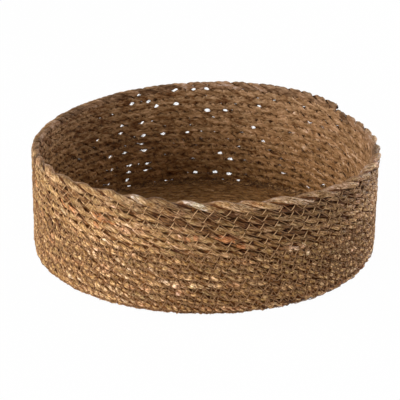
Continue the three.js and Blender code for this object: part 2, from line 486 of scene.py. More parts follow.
def twisted_ply(cord, arc, ply, sides, size, drop):
    """One ply's outline before it is pressed on its neighbours, and how far the ply lies on the inside."""
    around = math.tau * np.arange(sides)[None, :] / sides
    twist = ply_twist(arc, ply) + PLY_SLIP * ply_slip[ply](arc)
    turn = around + LEAF_TURN * twist + LEAF_ROLL * leaf_roll[ply](arc)
    shape = 1 + PLY_SWELL * ply_swell[ply](arc) + PLY_LUMP * ply_lump[ply](arc)
    for k, bulge in enumerate(bulges[ply]):
        shape = shape * (1 + BULGE * cord.folds * bulge(arc) * np.cos((k + 2) * turn + BULGE_TURN * k))
    shape = shape + cord.folds * lapped_leaves(arc, ply, around)
    inner_ply = smooth(INNER_PLY - np.sin(twist))
    squarer = cord.squareness + INSIDE_SQUARENESS * inner_ply * (turns_at(arc) >= 1)
    square = 1 - np.where(np.cos(turn) < 0, INNER_SQUARENESS, squarer)
    depth = cord.depth * (1 + FRONT_DEEPER * drop / RIM_DROP)
    width = cord.width * (1 - FRONT_NARROWER * drop / RIM_DROP)
    radial = size * (cord.reach + shape * depth * power(np.cos(turn), square))
    sideways = size * shape * width * power(np.sin(turn), square)
    u = radial * np.cos(twist) - sideways * np.sin(twist)
    v = radial * np.sin(twist) + sideways * np.cos(twist)
    return u, v, inner_ply


def row_limit(turns, above, v, inside, opened):
    """How far a ply may reach to the seam above or below, which strays, drops under the rim and has holes."""
    up = np.where(above, 1, -1)
    limit = ROW_LIMIT + INSIDE_CLOSER * inside - opened * (1 + HOLE_FLARE * (v / ROW_DEPTH) ** 2)
    limit = np.maximum(limit - up * HOLE_SLOPE * v * share_open(opened), LEAST_LIMIT)
    limit = limit + up * SEAM_WANDER * (1 + inside) * seam_wander(arc_at(np.where(above, turns, turns + 1)))
    return limit + np.where(above, -rim_drop(turns - 1), rim_drop(turns))


def outer_face(turns):
    """How far a ply may stand out of the middle of the wall, which is least at the heel."""
    on_rim = 1 - smooth((turns - 1) / RIM_FACE_CHANGE)
    return OUTER_FACE + RIM_STANDS_OUT * on_rim - HEEL_PRESSED * smooth(turns - WALL_TURNS + 1)


def ply_outline(cord, arc, ply, sides, pressing=1.0):
    """One ply's outline across the cord, each value (len(arc), sides): heights up the wall u, depths out of
    it v, how much painted shade a point gets between plies, in the seams and beside the thread, and if it is
    on the outside."""
    arc = np.asarray(arc, float)[:, None]
    turns = turns_at(arc)
    drop = np.where(turns < 1, rim_drop(turns), 0)
    size = cord_size(arc, turns, drop)
    u, v, inner_ply = twisted_ply(cord, arc, ply, sides, size, drop)
    between = smooth((cord.open - np.hypot(u, v) / size) / (cord.open - cord.dark))

    closing = inner_ply * np.where(turns < 1, u < 0, True)
    u = u * (1 + closing * (np.maximum(ROW_FILL / np.abs(u).max(axis=1, keepdims=True), 1) - 1))
    above = u > 0
    inside = smooth(0.5 - v / INSIDE_BLEND)
    opened = opening_at(np.where(above, turns, turns + 1))
    limit = row_limit(turns, above, v, inside, opened)
    u = np.where((turns < 1) & above, u, soft_limit(u, limit))
    flat = INNER_FACE * (1 - (1 - np.clip(-v / ROW_DEPTH, 0, 1)) ** INNER_FLATNESS)
    v = np.where(v > 0, soft_limit(v, outer_face(turns)), -flat)
    pressed = pressing * pinch(turns, u) * blend(1, INSIDE_PINCH, inside)
    v = v - np.sign(v) * np.minimum(pressed, np.abs(v))

    # Painted shade: darker between the plies, in the seams and in the grooves beside the threads
    under = np.where(turns < 1, np.maximum(u, np.abs(v)), np.abs(v))
    in_seam = smooth((SEAM_OPEN - under) / (SEAM_OPEN - SEAM_DARK))
    groove = GROOVE_DARK * smooth((pressed - GROOVE_OPEN) / (FALLING_PINCH - GROOVE_OPEN))
    hollow = 1 - (1 - between) * (1 - in_seam) * (1 - groove)
    # Less painted shade inside, and painted light beside the holes, where light shines through
    hollow = hollow * blend(1, INSIDE_DARK, inside) * (1 - HOLE_LIGHT * share_open(opened))

    u = u + (np.minimum(size, 1) - 1) * CORD_RADIUS - drop / 2
    first_round = np.clip(turns - ALL_TURNS + 1, 0, 1)
    u = u * (1 + EYE_FILL * (u < 0) * (1 - first_round) * smooth(first_round / EYE_START))
    v = v + ROW_LEAN * blend(1, BASE_LEAN, smooth(turns - HEEL_TURNS)) * row_lean(arc)
    return u, v, hollow, 1 - inside


# Meshes

CAP_TONE = 0.4
# Where the tubes' strips lie on the map that the materials are baked to, and how high each is in its row
MAP_LEFT, MAP_WIDTH = 0.005, 0.99
STRIP_LOW, STRIP_HEIGHT = 0.04, 0.92


class Shell:
    """Vertices, faces and their maps, gathered from tubes into one mesh."""

    def __init__(self):
        self.points, self.quads, self.caps, self.fibre, self.strips = [], [], [], [], []
        self.values = {"tone": [], "hollow": [], "outer": []}
        self.strip_count = 0
        self.count = 0

    def tube(self, rings, along, girth, tone, hollow, outer, strip_steps):
        """Adds a closed tube through rings (n, sides, 3). along is each ring's place along the fibre."""
        n, sides, _ = rings.shape
        base = self.count + sides * np.arange(n - 1)[:, None]
        i = np.arange(sides)[None, :]
        j = (i + 1) % sides
        quads = np.stack([base + i, base + j, base + sides + j, base + sides + i], axis=-1)
        self.points.append(rings.reshape(-1, 3))
        self.quads.append(quads.reshape(-1, 4))
        self.caps.append(self.count + np.arange(sides)[::-1])
        self.caps.append(self.count + (n - 1) * sides + np.arange(sides))
        x = np.broadcast_to(along[:, None], (n, sides))
        low = np.broadcast_to(i * girth / sides, (n - 1, sides))
        self.fibre.append(corners(x[:-1], low, low + girth / sides, x[1:]))
        for name, values, rows in (("tone", tone, n - 1), ("hollow", hollow, n), ("outer", outer, n)):
            self.values[name].append(np.broadcast_to(values, (rows, sides)).reshape(-1))
        strip, step = np.divmod(np.arange(n - 1)[:, None], strip_steps)
        self.strips.append((self.strip_count + strip, step, strip_steps, sides))
        self.strip_count += math.ceil((n - 1) / strip_steps)
        self.count += n * sides

    def mesh(self, name):
        points = np.concatenate(self.points)
        quads = np.concatenate(self.quads)
        loops = np.concatenate([quads.reshape(-1), *self.caps])
        totals = np.concatenate([np.full(len(quads), 4), [len(cap) for cap in self.caps]])
        starts = np.concatenate([[0], np.cumsum(totals)[:-1]])
        mesh = bpy.data.meshes.new(name)
        mesh.vertices.add(len(points))
        mesh.vertices.foreach_set("co", points.astype(np.float32).ravel())
        mesh.loops.add(len(loops))
        mesh.loops.foreach_set("vertex_index", loops.astype(np.int32))
        mesh.polygons.add(len(totals))
        mesh.polygons.foreach_set("loop_start", starts.astype(np.int32))
        mesh.update(calc_edges=True)
        self.write_maps(mesh, len(loops) - quads.size)
        mesh.validate()
        mesh.shade_smooth()
        return mesh

    def write_maps(self, mesh, cap_loops):
        rest = np.zeros((cap_loops, 2))
        for name, places in (("fibre", self.fibre), ("OFBake", self.bake_places())):
            written = mesh.uv_layers.new(name=name)
            written.data.foreach_set("uv", np.concatenate([*places, rest]).astype(np.float32).ravel())
        self.values["tone"].append(np.full(len(self.caps), CAP_TONE))
        for name, values in self.values.items():
            written = mesh.attributes.new(name, "FLOAT", "FACE" if name == "tone" else "POINT")
            written.data.foreach_set("value", np.concatenate(values).astype(np.float32))

    def bake_places(self):
        """The tubes cut into strips, which lie one above the other."""
        rows = self.strip_count
        for strip, step, strip_steps, sides in self.strips:
            left = np.broadcast_to(MAP_LEFT + MAP_WIDTH * step / strip_steps, (len(step), sides))
            low = strip + STRIP_LOW + STRIP_HEIGHT * np.arange(sides)[None, :] / sides
            high = low + STRIP_HEIGHT / sides
            yield corners(left, low / rows, high / rows, left + MAP_WIDTH / strip_steps)


def corners(left, low, high, right):
    """Map places of each face's corners, in the order of its vertices."""
    pairs = [(left, low), (left, high), (right, high), (right, low)]
    return np.stack([np.stack(np.broadcast_arrays(*p), axis=-1) for p in pairs], axis=2).reshape(-1, 2)


def add_object(name, data):
    made = bpy.data.objects.new(name, data)
    bpy.context.scene.collection.objects.link(made)
    return made


def piece(name, shell, material, slot, *nodes):
    made = add_object(name, shell.mesh(name))
    made.data.materials.append(material)
    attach(made, "root")
    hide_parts(*nodes)


# Leaves, whose tones run from 0 for dark brown over olive and tan to straw, and then to 1 for rust

LEAF_KINDS = np.array([0.05, 0.18, 0.33, 0.48, 0.60, 0.72, 0.84, 0.97])
LEAF_ODDS = np.array([0.04, 0.14, 0.22, 0.32, 0.22, 0.05, 0.005, 0.005])
RIM_ODDS = np.array([0.02, 0.08, 0.16, 0.30, 0.30, 0.13, 0.01, 0.00])
# The back of the rim gets darker kinds of leaf, as painted shade
BACK_ODDS = np.array([0.20, 0.34, 0.26, 0.16, 0.04, 0.00, 0.00, 0.00])
KIND_SPREAD = 0.05  # of the tones of one kind
LEAF_LENGTHS = (0.03, 0.16)
SPARE_LEAVES = 50
LEAF_POINT = 0.010  # how far a leaf's middle runs on past its edges
MIDDLE_TONE = 0.42
PALEST = 0.78  # tone of straw
RUST = 0.90  # tone at which rust begins
STRANDS = 200
FACING_UP_AND_OUT = 0.15  # radians from straight up
FACING_OUT = 0.2  # cosine of the widest turn from straight out

# How the tones drift as painted light and shade: by how much at most, and the direction of that place as an
# angle in degrees
LEFT_BRIGHTER, LEFT = 0.27, 215
UNDER_RIM_DULLER, UNDER_RIM_TURNS = 0.24, 6
LEFT_SPARED = 0.6  # share by which the left is spared from that
FAR_LEFT_DULLER, FAR_LEFT = 0.28, 198
FRONT_DULLER, FRONT = 0.19, 280
RIGHT, RIGHT_POWER = 10, 3  # the higher the power, the narrower is the part inside on the right that painted light makes paler
NARROW = 4  # how much narrower the painted shade at the far left and front is than half the wall
INSIDE_TONE = (-0.18, 0.10)  # added to the leaf's tones inside on the left as painted shade, and on the right as painted light
INSIDE_MIX = 0.5  # how far the tones inside keep to themselves, and not to the middle tone
FLOOR_SHARE = 0.3  # how far the whole floor is between left and right, in that painted light and shade
RIM_PALER = 0.10
RIM_LEFT = (0.45, 0.09, 0.32)  # middle and width in turns from the cord's end, and how much darker its painted shade makes it
RIM_RIGHT = (0.74, 0.88, 0.26)  # start and end in turns from the cord's end, and how much darker its painted shade makes it
RIM_RIGHT_EDGES = (0.12, 0.06)  # turns

# Leaves of the rim that stand out: an angle in degrees, a tone and a length along the cord
RIM_ACCENTS = (
    (192, 0.56, 0.020), (201, 0.54, 0.020), (172, 0.66, 0.020), (247.5, 0.84, 0.018),
    (266, 0.84, 0.024), (284, 0.97, 0.022), (298, 0.70, 0.014), (312, 0.62, 0.016),
)
# Leaves of the wall that stand out: a pixel of the picture, a tone and a length along the cord
WALL_SPOTS = (
    (225, 243, 0.98, 0.018), (240, 247, 0.96, 0.008), (97, 228, 0.94, 0.007), (71, 205, 0.93, 0.008),
    (117, 193, 0.85, 0.006), (302, 248, 0.84, 0.007), (295, 245, 0.83, 0.007), (307, 252, 0.83, 0.006),
    (292, 251, 0.80, 0.005), (177, 292, 0.86, 0.005), (80, 220, 0.36, 0.012), (135, 262, 0.30, 0.020),
    (262, 298, 0.30, 0.010), (190, 240, 0.93, 0.012),
)


def wall_accents():
    """Row, tone and length of each leaf that stands out."""
    for x, y, tone, length in WALL_SPOTS:
        seam_turns, height = wall_place((x, y), ROW_DEPTH, far=False)
        yield (seam_turns - 1 if height > 0 else seam_turns), tone, length


WALL_ACCENTS = tuple(wall_accents())


def leaf_tones(seed):
    """Ends of the leaves along one fold of a ply, and each leaf's tone."""
    random = np.random.default_rng(seed)
    enough = int(2 * CORD_LENGTH / sum(LEAF_LENGTHS)) + SPARE_LEAVES
    ends = np.cumsum(random.uniform(*LEAF_LENGTHS, enough))
    kinds = random.choice(LEAF_KINDS, len(ends) + 1, p=LEAF_ODDS / LEAF_ODDS.sum())
    return ends, kinds + random.uniform(-KIND_SPREAD, KIND_SPREAD, len(kinds))


def facing(turns, degrees):
    """Cosine of the angle between a turn's place on the wall and a direction."""
    return np.cos(angle_at(turns) - math.radians(degrees))


def tone_drift(turns):
    """Painted light and shade: the leaf is duller under the rim, at the far left and in front, and brighter
    low on the left.
    """
    lower = np.clip(turns / HEEL_TURNS, 0, 1)
    left = 0.5 + 0.5 * facing(turns, LEFT)
    far_left = smooth(NARROW * facing(turns, FAR_LEFT) - NARROW + 1)
    front = smooth(NARROW * facing(turns, FRONT) - NARROW + 1)
    under_rim = (1 - LEFT_SPARED * left) * (1 - smooth(turns / UNDER_RIM_TURNS))
    brighter = LEFT_BRIGHTER * left * lower
    return brighter - UNDER_RIM_DULLER * under_rim - FAR_LEFT_DULLER * far_left - FRONT_DULLER * front


def inside_drift(turns):
    """Painted shade and light inside: the leaf is darker on the left and in the middle than on the right."""
    right = (0.5 + 0.5 * facing(turns, RIGHT)) ** RIGHT_POWER
    return blend(*INSIDE_TONE, np.where(turns < WALL_TURNS, right, FLOOR_SHARE))


def rim_drift(turns):
    """The rim's leaf is palest in front, and darker at the left and right with painted shade."""
    middle, width, left_darker = RIM_LEFT
    left = np.exp(-(((turns - middle) / width) ** 2))
    start, end, right_darker = RIM_RIGHT
    right = smooth((turns - start) / RIM_RIGHT_EDGES[0]) * (1 - smooth((turns - end) / RIM_RIGHT_EDGES[1]))
    return RIM_PALER - left_darker * left - right_darker * right


def rim_strand(arc, ply):
    """The number of the strand that a ply shows on the rim's outside and top."""
    return np.floor((ply_twist(arc, ply) - math.pi) / math.tau).astype(int) % STRANDS


def crest_near(turns, ply):
    """How far along the cord a ply faces up and out, if it does so near this turn of the rim."""
    arc = arc_at(turns)
    short = math.remainder(FACING_UP_AND_OUT - ply_twist(arc, ply), math.tau)
    lay = np.interp(turns, GRID_TURNS, GRID_LAY)
    return arc + short / math.tau * lay if abs(short) < math.pi / 2 else None


def write_rim_tones(tones, arc, turns, ply):
    """Gives each strand of the rim one tone, darker at the back, left and right with painted shade, and then
    the leaves that stand out theirs.
    """
    strands = rim_strand(arc, ply)
    for odds, share in ((BACK_ODDS, turns < NARROW_RIM), (RIM_ODDS, turns >= NARROW_RIM)):
        kinds = np.random.default_rng(300 + ply).choice(LEAF_KINDS, STRANDS, p=odds / odds.sum())
        tones[share] = kinds[strands[share]][:, None] + rim_drift(turns[share])[:, None]
    sides = tones.shape[1]
    for angle, tone, length in RIM_ACCENTS:
        place = crest_near(((math.radians(angle) - END_ANGLE) / math.tau) % 1, ply)
        if place:
            from_end = length / 2 - np.abs(arc - place)
            pointed = np.abs(np.mod(np.arange(sides) / sides + 0.5, 1) - 0.5) * length
            tones[from_end[:, None] > pointed[None, :]] = tone


def tone_of_faces(cord, arc, ply, sides):
    """Tone of each face of a ply, (len(arc), sides). A leaf runs out in a point."""
    tones = np.zeros((len(arc), sides))
    per_leaf = sides // LEAVES
    for i in range(sides):
        leaf, inside = divmod(i, per_leaf)
        point = LEAF_POINT * abs(2 * (inside + 0.5) / per_leaf - 1)
        ends, kinds = leaf_tones(200 + 10 * ply + leaf)
        tones[:, i] = kinds[np.searchsorted(ends, arc + point)]
    turns = turns_at(arc)
    # Painted light and shade on the tones
    drifted = np.clip(tones + tone_drift(turns)[:, None], 0, PALEST)
    tones = np.where(tones < RUST, drifted, tones)
    if cord is RIM_CORD:
        write_rim_tones(tones, arc, turns, ply)
    for row, tone, length in WALL_ACCENTS:
        out = np.cos(ply_twist(arc, ply) - math.pi / 2) > FACING_OUT
        tones[(np.abs(arc - arc_at(row)) < length / 2) & out] = tone
    return tones


# Cord

GIRTH = 0.015  # round a ply
SPLICE = 0.014  # turns along which the rim's plies run into the round below
RIM_THINNED = 0.25  # share that the rim's plies lose there
ROUND_START = 0.8  # share of its thickness with which the round below starts
PLY_SHIFT = 30  # between the plies on the fibre map
STRIP_LENGTH = 0.42  # of cord, on the map that the materials are baked to


def splice(cord, turns):
    """How thick the cord is where the rim's plies run into the round below, which starts there."""
    into = smooth((turns - 1) / SPLICE + 1)
    return 1 - RIM_THINNED * into if cord is RIM_CORD else blend(ROUND_START, 1, into)


def cord_stretch(cord, top, bottom, sides, step):
    """The plies of the cord from one turn to another, counted down from the rim's end."""
    shell = Shell()
    start, end = arc_at(top), arc_at(bottom)
    arcs = np.linspace(start, end, int(round((end - start) / step)) + 1)
    turns = turns_at(arcs)[:, None]
    slim = splice(cord, turns)
    for ply in range(PLIES):
        u, v, hollow, outer = ply_outline(cord, arcs, ply, sides)
        rings = place(turns, slim * u, slim * v)
        tone = tone_of_faces(cord, (arcs[1:] + arcs[:-1]) / 2, ply, sides)
        if cord is WALL_CORD:
            # Inside, the tones are drawn towards the middle tone and get painted shade and light
            dulled = blend(MIDDLE_TONE, tone, INSIDE_MIX) + inside_drift(turns[1:])
            tone = np.where(outer[1:] > 0.5, tone, np.clip(dulled, 0, PALEST))
        shell.tube(rings, arcs + PLY_SHIFT * ply, GIRTH, tone, hollow, outer, int(STRIP_LENGTH / step))
    return shell


# Threads

THREAD_RADIUS = 0.00035
BOBBIN_RADIUS = 0.00025
THREAD_SIDES = 5
THREAD_STRIP = 200  # steps
THREAD_TONE = 0.5
STITCH_PARTS = 5
THREAD_RISE = 0.00030  # of its middle over the surface that it lies on
HOLE_DEPTH = 0.0010
FALLING_SUNK = 0.00030  # how deep the tighter leg of the zigzag lies in its groove
BOBBIN_SUNK = 0.00035  # how much deeper the thread inside is drawn into the leaf
FALLING_SHADE = 0.6  # painted shade on that leg, between the leaves that close over it
LOW_SHADE = 0.45  # painted shade on the threads low on the wall, which lie deep between the leaves
LOW_TURNS = (5, 9)  # below the rim, between which that painted shade sets in
TAUT_THREAD = 0.35  # thickness of the thread where it is pulled over a hole, as a share of its own
ROLL_RADIUS = 0.0007  # of the round that feels how far out a thread lies
FEELERS = 30
FELT_PINCH = 0.45  # share of the pinch that the thread sinks into
CHUNK = 20000


def surface_height(turns, across, face):
    """How far out the cord's surface is at a place across a seam, as a thread's round would rest on it."""
    height = np.zeros(len(turns))
    for row in (turns, turns - 1):
        row = np.clip(row, 0, ALL_TURNS)
        for cord, on_cord in ((RIM_CORD, row < 1), (WALL_CORD, row >= 1)):
            if on_cord.any():
                level = row_height(cord, row[on_cord], turns[on_cord] - 0.5, across[on_cord], face)
                height[on_cord] = np.maximum(height[on_cord], level)
    return height


def row_height(cord, row, seam, across, face):
    """How far out a round of the thread would rest on one row, at a place across the seam."""
    r0, z0, c0, s0 = (x[:, None] for x in profile(seam))
    r, z, c, s = (x[:, None] for x in profile(row))
    height = np.zeros(len(row))
    for ply in range(PLIES):
        u, v, _, _ = ply_outline(cord, arc_at(row), ply, FEELERS, FELT_PINCH)
        dr = r + u * c + v * s - r0
        dz = z + u * s - v * c - z0
        away = dr * c0 + dz * s0 - across[:, None]
        out = face * (dr * s0 - dz * c0)
        lift = out + np.sqrt(np.maximum(ROLL_RADIUS**2 - away**2, 0)) - ROLL_RADIUS
        height = np.maximum(height, np.where(np.abs(away) < ROLL_RADIUS, lift, 0).max(axis=1))
    return height


def stitches(stitching, first, last):
    """Where a zigzag thread's points lie between two turns: along the seam, in the period and across the
    seam. Also the numbers of those in needle holes."""
    start = math.ceil(np.interp(first, GRID_TURNS, stitching.count))
    end = math.floor(np.interp(last, GRID_TURNS, stitching.count))
    along = np.arange(STITCH_PARTS) / STITCH_PARTS
    legs = np.concatenate([RISING * along, RISING + (1 - RISING) * along])
    count = np.append((np.arange(start, end)[:, None] + legs).ravel(), end)
    part = np.mod(count, 1)
    turns = np.interp(count, stitching.count, GRID_TURNS)
    reach = np.interp(turns, GRID_TURNS, stitching.reach)
    holes = np.arange(0, len(count), STITCH_PARTS)
    across = np.interp(np.arange(len(count)), holes, (reach * zigzag(part))[holes])
    return turns, part, across - rim_drop(turns - 1), holes


def thread_line(stitching, first, last, face, sunk):
    """Points of a zigzag thread between two turns of the seam, and at each the outward direction, the painted
    shade and the share of its thickness that it has."""
    turns, part, across, holes = stitches(stitching, first, last)
    out = np.concatenate([surface_height(t, a, face) for t, a in split(turns, across)])
    out = taut(out) + THREAD_RISE - sunk
    out[holes] -= HOLE_DEPTH
    falling = part > RISING
    along_leg = np.clip((part - RISING) / (1 - RISING), 0, 1)
    out -= FALLING_SUNK * falling * np.sin(math.pi * along_leg) + stitching.shade * THREAD_RADIUS
    seam = turns - 0.5
    points = place(seam, across, face * out, turns)
    points[:, 2] = np.maximum(points[:, 2], THREAD_RADIUS)
    _, _, c, s = profile(seam)
    angle = angle_at(turns)
    outward = face * np.stack([s * np.cos(angle), s * np.sin(angle), -c], axis=-1)
    low = smooth((turns - LOW_TURNS[0]) / (LOW_TURNS[1] - LOW_TURNS[0]))
    shaded = np.maximum(np.maximum(FALLING_SHADE * falling, stitching.shade), LOW_SHADE * low)
    return points, outward, shaded, blend(1, TAUT_THREAD, share_open(opening_at(turns)))


def split(*arrays):
    for k in range(0, len(arrays[0]), CHUNK):
        yield tuple(a[k : k + CHUNK] for a in arrays)


def taut(out):
    """Heights of a thread that is pulled straight over the dips between two needle holes."""
    whole = (len(out) - 1) // STITCH_PARTS
    legs = out[:-1].reshape(whole, STITCH_PARTS)
    ends = out[STITCH_PARTS::STITCH_PARTS]
    legs = np.concatenate([legs, ends[:, None]], axis=1)
    pulled = legs.copy()
    for a in range(STITCH_PARTS + 1):
        for b in range(a + 1, STITCH_PARTS + 1):
            for m in range(a + 1, b):
                straight = blend(legs[:, a], legs[:, b], (m - a) / (b - a))
                pulled[:, m] = np.maximum(pulled[:, m], straight)
    return np.append(pulled[:, :-1].ravel(), out[-1])


def sweep(points, outward, radius, sides):
    """Rings of a round tube along points."""
    along = np.gradient(points, axis=0)
    along /= np.linalg.norm(along, axis=1, keepdims=True)
    outward = outward - (outward * along).sum(1, keepdims=True) * along
    outward /= np.linalg.norm(outward, axis=1, keepdims=True)
    side = np.cross(along, outward)
    turn = math.tau * np.arange(sides)[None, :, None] / sides
    radius = radius[:, None, None]
    return points[:, None] + radius * (np.cos(turn) * outward[:, None] + np.sin(turn) * side[:, None])


def thread_stretch(stitching, first, last, face):
    """One pass of the thread between two turns, on the outside where face is 1 and inside where it is -1."""
    radius, sunk = (THREAD_RADIUS, 0.0) if face > 0 else (BOBBIN_RADIUS, BOBBIN_SUNK)
    points, outward, shaded, thinner = thread_line(stitching, first, last, face, sunk)
    rings = sweep(points, outward, radius * thinner, THREAD_SIDES)
    length = np.concatenate([[0], np.cumsum(np.linalg.norm(np.diff(points, axis=0), axis=1))])
    shell = Shell()
    shell.tube(rings, length, math.tau * radius, THREAD_TONE, shaded[:, None], 1.0, THREAD_STRIP)
    return shell


# Materials

def rgb(red, green, blue):
    """A colour as it looks on a screen, 0 to 255, as the linear values that shaders take."""
    def linear(x):
        x /= 255
        return x / 12.92 if x <= 0.04045 else ((x + 0.055) / 1.055) ** 2.4

    return (linear(red), linear(green), linear(blue), 1.0)


WHITE = (1, 1, 1, 1)

# How much more green and blue change than red from a leaf's dark places to its light ones
GREEN_LAW = 1.35
BLUE_LAW = 1.85

# The tones' places on a ramp, and the colours there: dark brown, olive, tan, straw and rust
TONE_PLACES = (0.00, 0.12, 0.24, 0.36, 0.48, 0.60, 0.72, 0.84, 0.93, 1.00)
WALL_COLOURS = (
    (112, 74, 38), (141, 101, 60), (158, 123, 78), (171, 133, 87), (182, 140, 92),
    (193, 150, 102), (206, 166, 120), (218, 188, 150), (188, 132, 86), (184, 122, 74),
)
RIM_COLOURS = (
    (92, 64, 36), (112, 81, 50), (132, 101, 66), (149, 115, 76), (164, 126, 84),
    (177, 139, 97), (186, 152, 116), (184, 164, 136), (190, 144, 98), (184, 136, 88),
)
# Patches of the outside are pinkish, golden or greyish
PATCH_PLACES = (0.30, 0.43, 0.52, 0.60, 0.70)
PATCH_COLOURS = (
    (1.09, 0.95, 1.04, 1), (1.04, 1.00, 1.02, 1), (1.04, 1.01, 0.88, 1), (1.04, 1.00, 1.04, 1),
    (0.93, 1.00, 1.10, 1),
)
# What is left of each colour inside the basket, with painted shade; towards its foot, where it turns darker
# and more golden; at the top of its wall, with painted shade; and in the deepest folds, with painted shade
INSIDE_SHARE = (0.78, 0.74, 0.85, 1.0)
LOW_SHARE = (0.94, 0.86, 0.61, 1.0)
TOP_SHARE = (0.57, 0.53, 0.55, 1.0)
PAINTED_DARK_SHARE = (0.32, 0.19, 0.09, 1.0)
OUTSIDE_SPARED = 0.75  # how far the outside is spared from the change at the foot

# Marks on the leaf: scales along and across the fibre, shift from tone to tone, detail and roughness
BLOTCH = (70, 300, 40, 3.0, 0.65)
FLECK = (330, 900, 50, 2.0, 0.6)
STREAK = (110, 1200, 60, 2.0, 0.6)
CREASE_WIDTH = 0.02
FRAY = (80, 250)  # along the rows and across them
FRAY_NOISE = (3.0, 0.85)
PATCH = (45, 120)
# What the marks do to the tone, and to how light it is. The dark of the creases is painted shade. The inside
# has frayed fibres, and few fine marks.
LIGHT = 1.08
BLOTCH_TONE, BLOTCH_LIGHT = 0.26, 0.4
FRAYED_TONE, FRAYED_LIGHT = 1.5, 2.4
FLECK_LIGHT, STREAK_LIGHT, CREASE_DARK = 3.0, 2.6, 1.1
FINE_INSIDE = 0.05

# Where the painted shade sets in: in the folds, as a share of their depth, over the height, as a share of it,
# and from left to right
FOLD_DARKENS = (0.2, 0.85)
TOP_DARKENS = (0.5, 0.9)
RIGHT_DARKENS = (-OUTSIDE_RADIUS, 0.02)

LEAF_ROUGHNESS, STREAK_ROUGHNESS, LEAF_GLOSS = 0.45, 0.3, 0.15
LEAF_BUMP = (0.9, 0.0006)  # strength and depth

# The thread: scales of its twist and of its drift of colour, and how light its strands are
TWIST, TWIST_SCALE = (2600, 450), 0.35
DRIFT = (45, 10)
STRAND_DARK, STRAND_LIGHT = 0.78, 0.3
THREAD_ROUGHNESS, THREAD_GLOSS = 0.6, 0.3
THREAD_BUMP = (0.5, 0.0002)
NEEDLE_COLOURS = ((172, 132, 90), (224, 184, 138))
BOBBIN_COLOURS = ((96, 68, 42), (140, 106, 72))


class Value:
    """A shader value that sums and products can be written with."""

    def __init__(self, finish, socket):
        self.finish = finish
        self.socket = socket

    def __add__(self, other):
        return self.finish.math("ADD", self, other)

    def __sub__(self, other):
        return self.finish.math("SUBTRACT", self, other)

    def __rsub__(self, other):
        return self.finish.math("SUBTRACT", other, self)

    def __mul__(self, other):
        return self.finish.math("MULTIPLY", self, other)

    def __pow__(self, other):
        return self.finish.math("POWER", self, other)

    __radd__ = __add__
    __rmul__ = __mul__


class Finish:
    """The nodes of one material, or of the world."""

    def __init__(self, tree):
        self.tree = tree
        tree.nodes.clear()

    def node(self, kind, settings, sockets, out=0):
        """Adds a node, and gives back one of its outputs. A ramp's stops are one of its settings."""
        made = self.tree.nodes.new("ShaderNode" + kind)
        for name, value in settings.items():
            if name == "stops":
                band = made.color_ramp
                while len(band.elements) < len(value):
                    band.elements.new(0.5)
                for element, (position, colour) in zip(band.elements, value):
                    element.position = position
                    element.color = colour
            else:
                setattr(made, name, value)
        for name, value in sockets.items():
            if isinstance(value, Value):
                self.tree.links.new(value.socket, made.inputs[name])
            else:
                made.inputs[name].default_value = value
        return Value(self, made.outputs[out]) if made.outputs else None

    def math(self, operation, *values, kind="Math"):
        return self.node(kind, {"operation": operation}, dict(enumerate(values)))

    def background_ray(self):
        """1 for a ray that shows the background, seen or mirrored, and 0 for the light on the basket."""
        rays = [self.node("LightPath", {}, {}, f"Is {kind} Ray") for kind in BACKGROUND_RAYS]
        return rays[0] + rays[1] + rays[2]

    def attribute(self, name):
        return self.node("Attribute", {"attribute_name": name}, {}, "Fac")

    def position(self, axis):
        point = self.node("TexCoord", {}, {}, "Object")
        return self.node("SeparateXYZ", {}, {0: point}, axis)

    def along_rows(self, along, across):
        """A flat map of the basket, with its own scales along the rows and across them."""
        x, y = self.position("X"), self.position("Y")
        radius = (x * x + y * y) ** 0.5
        angle = self.math("ARCTAN2", y, x)
        sockets = {0: angle * (OUTSIDE_RADIUS * along), 1: (radius + self.position("Z")) * across}
        return self.node("CombineXYZ", {}, sockets)

    def fibre(self, along, across, shift):
        """The fibre map with its own scales along and across, and a shift from leaf to leaf."""
        uv = self.node("UVMap", {"uv_map": "fibre"}, {})
        scaled = self.math("MULTIPLY", uv, (along, across, 0), kind="VectorMath")
        return self.math("ADD", scaled, self.node("CombineXYZ", {}, {2: shift}), kind="VectorMath")

    def noise(self, vector, detail=2.0, roughness=0.5):
        sockets = {"Vector": vector, "Scale": 1.0, "Detail": detail, "Roughness": roughness}
        return self.node("TexNoise", {}, sockets)

    def mark(self, tone, along, across, shift, detail, roughness):
        return self.noise(self.fibre(along, across, tone * shift), detail, roughness)

    def ramp(self, value, places, colours):
        return self.node("ValToRGB", {"stops": tuple(zip(places, colours))}, {0: value})

    def map_range(self, value, low, high, interpolation="LINEAR"):
        sockets = {"Value": value, "From Min": low, "From Max": high}
        return self.node("MapRange", {"interpolation_type": interpolation}, sockets)

    def mix(self, factor, first, second, blend_type="MIX"):
        settings = {"data_type": "RGBA", "blend_type": blend_type}
        return self.node("Mix", settings, {0: factor, 6: first, 7: second}, 2)

    def left_of(self, colour, share, where):
        """A colour of which only a share is left in some places."""
        return self.mix(1.0, colour, self.mix(where, WHITE, share), "MULTIPLY")

    def lit(self, colour, light):
        """A colour made lighter or darker. Green and blue change more than red, as they do in dried leaf."""
        green, blue = light**GREEN_LAW, light**BLUE_LAW
        shade = self.node("CombineColor", {}, {0: light, 1: green, 2: blue})
        return self.mix(1.0, colour, shade, "MULTIPLY")

    def surface(self, colour, roughness, gloss, height, strength, distance):
        bump = self.node("Bump", {}, {"Strength": strength, "Distance": distance, "Height": height})
        sockets = {"Base Color": colour, "Roughness": roughness, "Specular IOR Level": gloss, "Normal": bump}
        self.node("OutputMaterial", {}, {"Surface": self.node("BsdfPrincipled", {}, sockets)})


def new_material(name):
    material = bpy.data.materials.new(name)
    material.use_nodes = True
    return material, Finish(material.node_tree)


